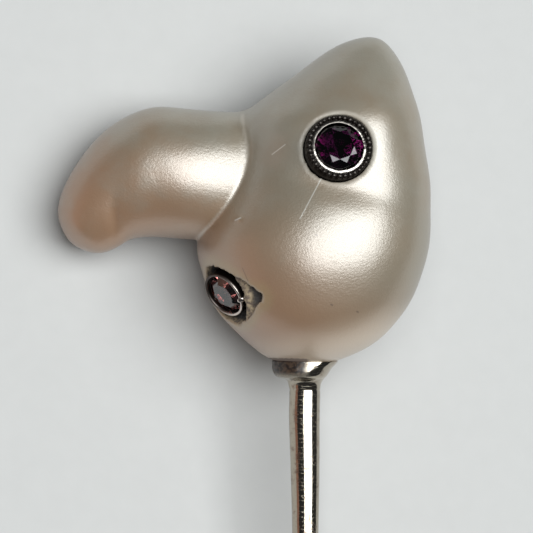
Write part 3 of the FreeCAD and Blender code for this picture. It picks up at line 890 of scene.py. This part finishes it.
def node(tree, kind, links=None, **settings):
    """A shader node with its settings and inputs; without a tree it goes where its inputs come from."""
    links = links or {}
    if tree is None:
        tree = next(value.id_data for value in links.values() if isinstance(value, bpy.types.NodeSocket))
    made = tree.nodes.new("ShaderNode" + kind)
    for name, value in settings.items():
        setattr(made, name, value)
    return wired(made, links)


def maths(operation, *values):
    """The output of a Math node on values or outputs."""
    return node(None, "Math", dict(enumerate(values)), operation=operation).outputs[0]


def vectors(operation, links):
    """The outputs of a Vector Math node."""
    return node(None, "VectorMath", links, operation=operation).outputs


def times(a, b):
    """The product of two values or outputs."""
    return maths("MULTIPLY", a, b)


def plus(a, b):
    """The sum of two values or outputs."""
    return maths("ADD", a, b)


def minus(a, b):
    """The difference of two values or outputs."""
    return maths("SUBTRACT", a, b)


def ramp(value, low, high, to_low=0.0, to_high=1.0):
    """A value from low..high carried over to to_low..to_high, clamped."""
    links = {"Value": value, "From Min": low, "From Max": high, "To Min": to_low, "To Max": to_high}
    return node(None, "MapRange", links, interpolation_type="SMOOTHSTEP").outputs[0]


def blend(share, first, second):
    """A colour between two, by a share."""
    return node(None, "Mix", {0: share, 6: first, 7: second}, data_type="RGBA").outputs[2]


def tinted(body, mask, colour, share=1.0):
    """A colour taken towards another where the mask is, as far as the share says."""
    return blend(times(mask, share), body, colour)


def cloud(position, scale, detail=3.0, roughness=0.55):
    """Noise at a scale, 0 to 1 round 0.5."""
    links = {"Vector": position, "Scale": scale, "Detail": detail, "Roughness": roughness}
    return node(None, "TexNoise", links).outputs["Fac"]


def bumped(height, strength, distance):
    """The normal of a surface with small forms of that height on it."""
    return node(None, "Bump", {"Height": height, "Strength": strength, "Distance": distance}).outputs[0]


def new_group(name, inputs, outputs):
    """A node group with named float or vector inputs and float outputs."""
    tree = bpy.data.node_groups.new(name, "ShaderNodeTree")
    for label, value in inputs.items():
        kind = "NodeSocketVector" if value is None else "NodeSocketFloat"
        socket = tree.interface.new_socket(label, in_out="INPUT", socket_type=kind)
        if value is not None:
            socket.default_value = value
    for label in outputs:
        tree.interface.new_socket(label, in_out="OUTPUT", socket_type="NodeSocketFloat")
    return tree, tree.nodes.new("NodeGroupInput").outputs, tree.nodes.new("NodeGroupOutput")


def placed(group, **links):
    """The outputs of a group put into a material, its inputs by name."""
    return node(None, "Group", links, node_tree=group).outputs


# %% Groups that several finishes use
GRAIN, given, out = new_group("fine_grain", {"Position": None, "Scale": 9000.0}, ("Grain",))
fine = cloud(given["Position"], given["Scale"], 2.0)
coarse = cloud(given["Position"], times(given["Scale"], 0.35), 2.0)
wired(out, {"Grain": plus(times(fine, 0.6), times(coarse, 0.4))})

TARNISH, given, out = new_group("tarnish", {"Position": None, "Scale": 2500.0, "Amount": 0.5}, ("Mask",))
patches = cloud(given["Position"], given["Scale"], 6.0, 0.65)
level = minus(0.78, times(given["Amount"], 0.5))
wired(out, {"Mask": ramp(patches, minus(level, 0.08), plus(level, 0.12))})

SCRATCH, given, out = new_group("hairlines", {"Position": None, "Scale": 900.0, "Width": 0.012}, ("Line",))
turned_by = {"Vector": given["Position"], "Rotation": (0.6, 0.3, 0.9), "Scale": (1.0, 6.0, 1.0)}
stretched = node(SCRATCH, "Mapping", turned_by).outputs[0]
cracks = node(SCRATCH, "TexVoronoi", {"Vector": stretched, "Scale": given["Scale"]}, feature="DISTANCE_TO_EDGE")
wired(out, {"Line": ramp(cracks.outputs["Distance"], given["Width"], 0.0)})
print("groups:", [group.name for group in bpy.data.node_groups])


# %% A material to start from
def finish(name):
    """An empty material with a Principled shader; returns it, its tree, the shader and Object coordinates."""
    material = bpy.data.materials.new(name)
    material.use_nodes = True
    tree = material.node_tree
    shader = tree.nodes["Principled BSDF"]
    return material, tree, shader, node(tree, "TexCoord").outputs["Object"]


def attribute(tree, name, kind="Fac"):
    """One of the piece's own attributes."""
    return node(tree, "Attribute", attribute_name=name).outputs[kind]


def put_on(name, material):
    """Gives an object one material."""
    slots = bpy.data.objects[name].data.materials
    slots.clear()
    slots.append(material)
    print(f"{name}: {material.name}, {len(material.node_tree.nodes)} nodes")


# %% [markdown]
# ## Nacre
#
# Nacre is thin layers of crystal over each other. Its tint drifts over the pearl:
# brownish beige, with peach low on the left and cooler towards the crown. Low
# by the cup a pale cream is painted in, a painted reflection of light on the
# underside. A grainy surface under a weak clear coat gives broad, soft highlights.

# %% Nacre, sound
BEIGE, GREENISH = (0.275, 0.207, 0.138, 1), (0.245, 0.210, 0.155, 1)
# The last colour on the next line is painted reflected light, for the bottom by the cup.
PEACH, PALE, REFLECTED_LIGHT = (0.330, 0.190, 0.108, 1), (0.305, 0.290, 0.240, 1), (0.72, 0.60, 0.47, 1)

nacre, tree, shader, position = finish("nacre")
upright = attribute(tree, "upright", "Vector")
x, y, z = node(tree, "SeparateXYZ", {0: upright}).outputs
drift = cloud(position, 190.0, 2.0)
patch = cloud(position, 900.0, 4.0)
grain = placed(GRAIN, Position=position, Scale=14000.0)["Grain"]
body = blend(ramp(drift, 0.35, 0.65), BEIGE, GREENISH)
low_left = plus(times(x, -0.07), times(z, -0.09))
body = tinted(body, ramp(plus(low_left, times(drift, 0.4)), -0.35, 0.25), PEACH)
high = plus(times(z, 0.06), times(patch, 0.8))
body = tinted(body, ramp(high, 0.65, 1.15), PALE, 0.6)
# Painted reflected light: low by the cup the nacre is tinted pale cream.
reflected_light_share = plus(z, times(x, -0.25))
body = tinted(body, ramp(reflected_light_share, 1.5, -0.1), REFLECTED_LIGHT, 0.7)
print(f"five tints mixed, {len(tree.nodes)} nodes so far")

# %% [markdown]
# ## Damage, dirt and painted light on the nacre
#
# Broken nacre is dull, golden and crumbly; the pearl's masks say where. The
# deepest part of the recess gets painted shade and the fold between the lobes a
# painted highlight. The few scratches and dark specks are straight lines on the
# front, where the photograph shows them, and the distance to each line makes its
# mask.

# %% Nacre, damaged, with painted shade and a painted highlight
# start (x, z), end (x, z) and width of each, in mm
SCRATCHES = (
    ((0.62, 6.60), (-0.20, 5.05), 0.020),
    ((-0.72, 7.66), (-1.18, 7.32), 0.016),
    ((-2.48, 5.00), (-2.28, 5.09), 0.022),
)
SPECKS = (
    ((0.34, 4.49), (0.40, 4.46), 0.030),
    ((0.88, 2.05), (0.93, 2.02), 0.026),
    ((1.80, 1.80), (1.84, 1.77), 0.026),
    ((-2.22, 3.32), (-2.02, 2.85), 0.012),
)
LINES = ((SCRATCHES, (0.60, 0.58, 0.53, 1), 0.7), (SPECKS, (0.12, 0.08, 0.055, 1), 0.75))
# The third colour on the next line is painted shade, for the deepest part of the recess.
DARK_CRUMB, GOLD_CRUMB, PAINTED_PIT_SHADE = (0.09, 0.05, 0.025, 1), (0.36, 0.27, 0.155, 1), (0.012, 0.006, 0.004, 1)
# The last colour on the next line is a painted highlight, for the fold between the lobes.
GOLDEN, HALO_WHITE, CREASE_HIGHLIGHT = (0.33, 0.235, 0.125, 1), (0.45, 0.43, 0.37, 1), (0.50, 0.45, 0.38, 1)
DIRT = (0.16, 0.10, 0.065, 1)


def scratch(upright, start, end, width):
    """A mask that is 1 on a straight line of the front, from start to end, seen from the viewer's side."""
    start, end = np.array([start[0], 0, start[1]]), np.array([end[0], 0, end[1]])
    run = end - start
    flat = vectors("MULTIPLY", {0: upright, 1: (1, 0, 1)})[0]
    to_point = vectors("SUBTRACT", {0: flat, 1: tuple(start)})[0]
    part = vectors("DOT_PRODUCT", {0: to_point, 1: tuple(run / (run @ run))})["Value"]
    part = node(None, "Clamp", {"Value": part}).outputs[0]
    foot = vectors("SCALE", {0: tuple(run), "Scale": part})[0]
    gap = vectors("DISTANCE", {0: to_point, 1: foot})["Value"]
    return ramp(gap, width * 1.5, width * 0.5)


broken, halo = attribute(tree, "broken"), attribute(tree, "halo")
crumb = cloud(position, 7000.0, 4.0)
body = blend(broken, body, blend(ramp(crumb, 0.38, 0.62), DARK_CRUMB, GOLD_CRUMB))
# Painted shade: the deepest part of the recess is tinted almost black.
body = tinted(body, attribute(tree, "deep_shade"), PAINTED_PIT_SHADE)
body = tinted(body, attribute(tree, "chipped"), GOLDEN, 0.8)
body = tinted(body, halo, HALO_WHITE, 0.3)
# Painted highlight: a pale line along the fold between the lobes.
body = tinted(body, attribute(tree, "crease_highlight"), CREASE_HIGHLIGHT, 0.5)
front = ramp(y, -0.5, -1.0)
for lines, colour, share in LINES:
    for start, end, width in lines:
        body = tinted(body, times(scratch(upright, start, end, width), front), colour, share)
crust = ramp(plus(attribute(tree, "smear"), times(crumb, 0.7)), 0.75, 1.05)
body = tinted(body, crust, DIRT)
print(f"{len(SCRATCHES)} scratches and {len(SPECKS)} specks")

# %% Nacre, its shine
dull = maths("MAXIMUM", maths("MAXIMUM", broken, crust), times(halo, 0.7))
sound = minus(1.0, dull)
height = plus(times(grain, 0.5), times(patch, 0.5))
height = plus(height, times(times(crumb, broken), 3.0))
wired(shader, {
    "Base Color": body,
    "Roughness": ramp(plus(times(grain, 0.5), dull), 0.2, 1.2, 0.37, 0.85),
    "Metallic": times(sound, 0.20),
    "Coat Weight": times(sound, 0.35),
    "Normal": bumped(height, 0.5, 0.05 * MM),
    "IOR": 1.9,
    "Specular IOR Level": 0.9,
    "Coat Roughness": 0.22,
    "Coat IOR": 1.6,
})
put_on("pearl_skin", nacre)


# %% [markdown]
# ## Metals
#
# The stem is pale gold or silver alloy, once polished; the collets are older
# looking, with dark oxide in every hollow and bare metal where hands have worn
# them. On one arc of each collet's rim the bare metal is a painted highlight too.
# One recipe makes all three: polished metal, patches of tarnish, hairlines. Old
# glue sticks to the left side of the cup.

# %% Metals
GLUE_DARK, GLUE_BROWN = (0.008, 0.005, 0.004, 1), (0.060, 0.038, 0.026, 1)


def metal(name, bright, dark, amount, roughness, raised=False, residue=False):
    """Polished metal under tarnish, bare where a mask says, with glue by the mask residue; the bare mask is wear,
    and on the collets also a painted highlight.
    """
    material, tree, shader, position = finish(name)
    tarnish = placed(TARNISH, Position=position, Scale=3800.0, Amount=amount)["Mask"]
    grain = placed(GRAIN, Position=position, Scale=20000.0)["Grain"]
    hair = placed(SCRATCH, Position=position, Scale=1100.0, Width=0.01)["Line"]
    # Bare metal where the mask is high: wear, and on the collets' lit side a painted highlight.
    if raised:
        hollow = minus(1.0, times(attribute(tree, "raised"), 1.1))
        tarnish = maths("MAXIMUM", hollow, times(tarnish, 0.4))
    colour = blend(tarnish, bright, dark)
    rough = plus(times(tarnish, 0.28), roughness)
    height = minus(times(grain, 0.3), times(hair, 0.2))
    metallic = 1.0
    if residue:
        crust = cloud(position, 3600.0, 5.0, 0.6)
        left = times(attribute(tree, "residue"), ramp(crust, 0.24, 0.33))
        spots = ramp(cloud(position, 9000.0), 0.4, 0.6)
        colour = blend(left, colour, blend(spots, GLUE_DARK, GLUE_BROWN))
        rough = plus(rough, times(left, 0.25))
        height = plus(height, times(left, times(crust, 4.0)))
        metallic = minus(1.0, left)
    normal = bumped(height, 0.4, 0.02 * MM)
    wired(shader, {"Base Color": colour, "Roughness": rough, "Metallic": metallic, "Normal": normal})
    return material


put_on("cup_and_stem", metal("white_gold", (0.44, 0.395, 0.325, 1), (0.24, 0.18, 0.14, 1), 0.40, 0.09,
                             residue=True))
put_on("beaded_collet", metal("dark_silver", (0.60, 0.56, 0.51, 1), (0.022, 0.018, 0.016, 1), 0.75, 0.14,
                              raised=True))
put_on("clawed_collet", metal("old_silver", (0.70, 0.62, 0.57, 1), (0.035, 0.025, 0.022, 1), 0.35, 0.16,
                              raised=True))


# %% [markdown]
# ## Stones
#
# Both stones are cut in the solid model, facet by facet, so they only need their
# glass: a high index, a colour that turns to another on the stone's left, and a
# little wear. In their closed collets they look much darker than they are. Their
# colours are painted light: the eye stone's near-black is painted shade, its
# magenta on the left a painted flash; the mouth stone is clear, and its red and
# its pale left are painted reflections.

# %% Stones
# Where the painted glint on the stone's left begins and ends, and how ragged its edge is.
GLINT_FROM, GLINT_TO, GLINT_RAGGED = -0.3 * MM, -0.7 * MM, 0.4 * MM


def gem(name, centre, colour, painted_glint, index):
    """Clear stone, full transmission: a painted colour, a painted glint of another colour on its left, faint wear
    on the facets.
    """
    material, _, shader, position = finish(name)
    middle = float(laid(centre) @ right)
    across = vectors("DOT_PRODUCT", {0: position, 1: tuple(right)})["Value"]
    across = plus(across, times(cloud(position, 2500.0, 2.0), GLINT_RAGGED))
    grain = placed(GRAIN, Position=position, Scale=12000.0)["Grain"]
    wired(shader, {
        "Base Color": blend(ramp(across, middle + GLINT_FROM, middle + GLINT_TO), colour, painted_glint),
        "Roughness": ramp(grain, 0.45, 0.75, 0.0, 0.06),
        "Transmission Weight": 1.0,
        "IOR": index,
    })
    return material


# Eye: near-black painted shade, with a magenta painted flash on the left. Mouth: a clear stone, its red and pale
# left both painted reflections.
put_on("eye_stone", gem("eye_gem", EYE.origin, (0.003, 0.0002, 0.002, 1), (0.16, 0.002, 0.065, 1), 1.62))
put_on("mouth_stone", gem("mouth_gem", MOUTH.origin, (0.50, 0.16, 0.15, 1), (0.75, 0.62, 0.56, 1), 2.1))

# %% [markdown]
# ## Floor and light
#
# A plain pale floor, one big soft light beside the camera, up and to the right, as
# the broad highlights show, and a faint warm card on the left, which the beak and
# the metal reflect. A dim world fills the shadows.

# %% Floor
FLOOR_HALF = 1.2
GREY, PALE_GREY = (0.50, 0.50, 0.495, 1), (0.54, 0.54, 0.535, 1)

floor_mesh = bpy.data.meshes.new("floor")
corners = [(side * FLOOR_HALF, far * FLOOR_HALF, 0) for side, far in ((-1, -1), (1, -1), (1, 1), (-1, 1))]
floor_mesh.from_pydata(corners, [], [(0, 1, 2, 3)])
floor = added("floor", floor_mesh)
paper, _, shader, position = finish("paper")
fibre = placed(GRAIN, Position=position, Scale=1500.0)["Grain"]
wired(shader, {"Base Color": blend(fibre, GREY, PALE_GREY), "Roughness": 0.9})
put_on("floor", paper)

# %% Light and world
LIT_SPOT = (0, -1, 5)
SKY, SKY_STRENGTH = (0.9, 0.95, 1.0, 1), 0.045


def lamp(name, direction, distance_mm, wide_mm, high_mm, radiance, colour):
    """A soft light that looks at the pearl from a direction in upright axes, its sides level and plumb there."""
    data = bpy.data.lights.new(name, "AREA")
    data.shape, data.size, data.size_y = "RECTANGLE", wide_mm * MM, high_mm * MM
    data.energy, data.color = radiance * math.pi * data.size * data.size_y, colour
    toward = TURN @ (np.array(direction, float) / np.linalg.norm(direction))
    level = np.cross(up, toward)
    level /= np.linalg.norm(level)
    aim(added(name, data), laid(LIT_SPOT) + toward * distance_mm * MM, [level, np.cross(toward, level), toward])
    print(f"{name}: {data.energy:.3f} W")


lamp("key", (0.41, -0.90, 0.11), 320.0, 390.0, 235.0, 6.2, (0.97, 1.0, 1.0))
lamp("warm_card", (-0.97, -0.16, -0.15), 300.0, 280.0, 320.0, 0.40, (1.0, 0.52, 0.38))

world = bpy.data.worlds.new("studio")
bpy.context.scene.world = world
world.use_nodes = True
background = world.node_tree.nodes["Background"].inputs
background["Color"].default_value = SKY
background["Strength"].default_value = SKY_STRENGTH
bpy.context.scene.view_settings.view_transform = "Standard"
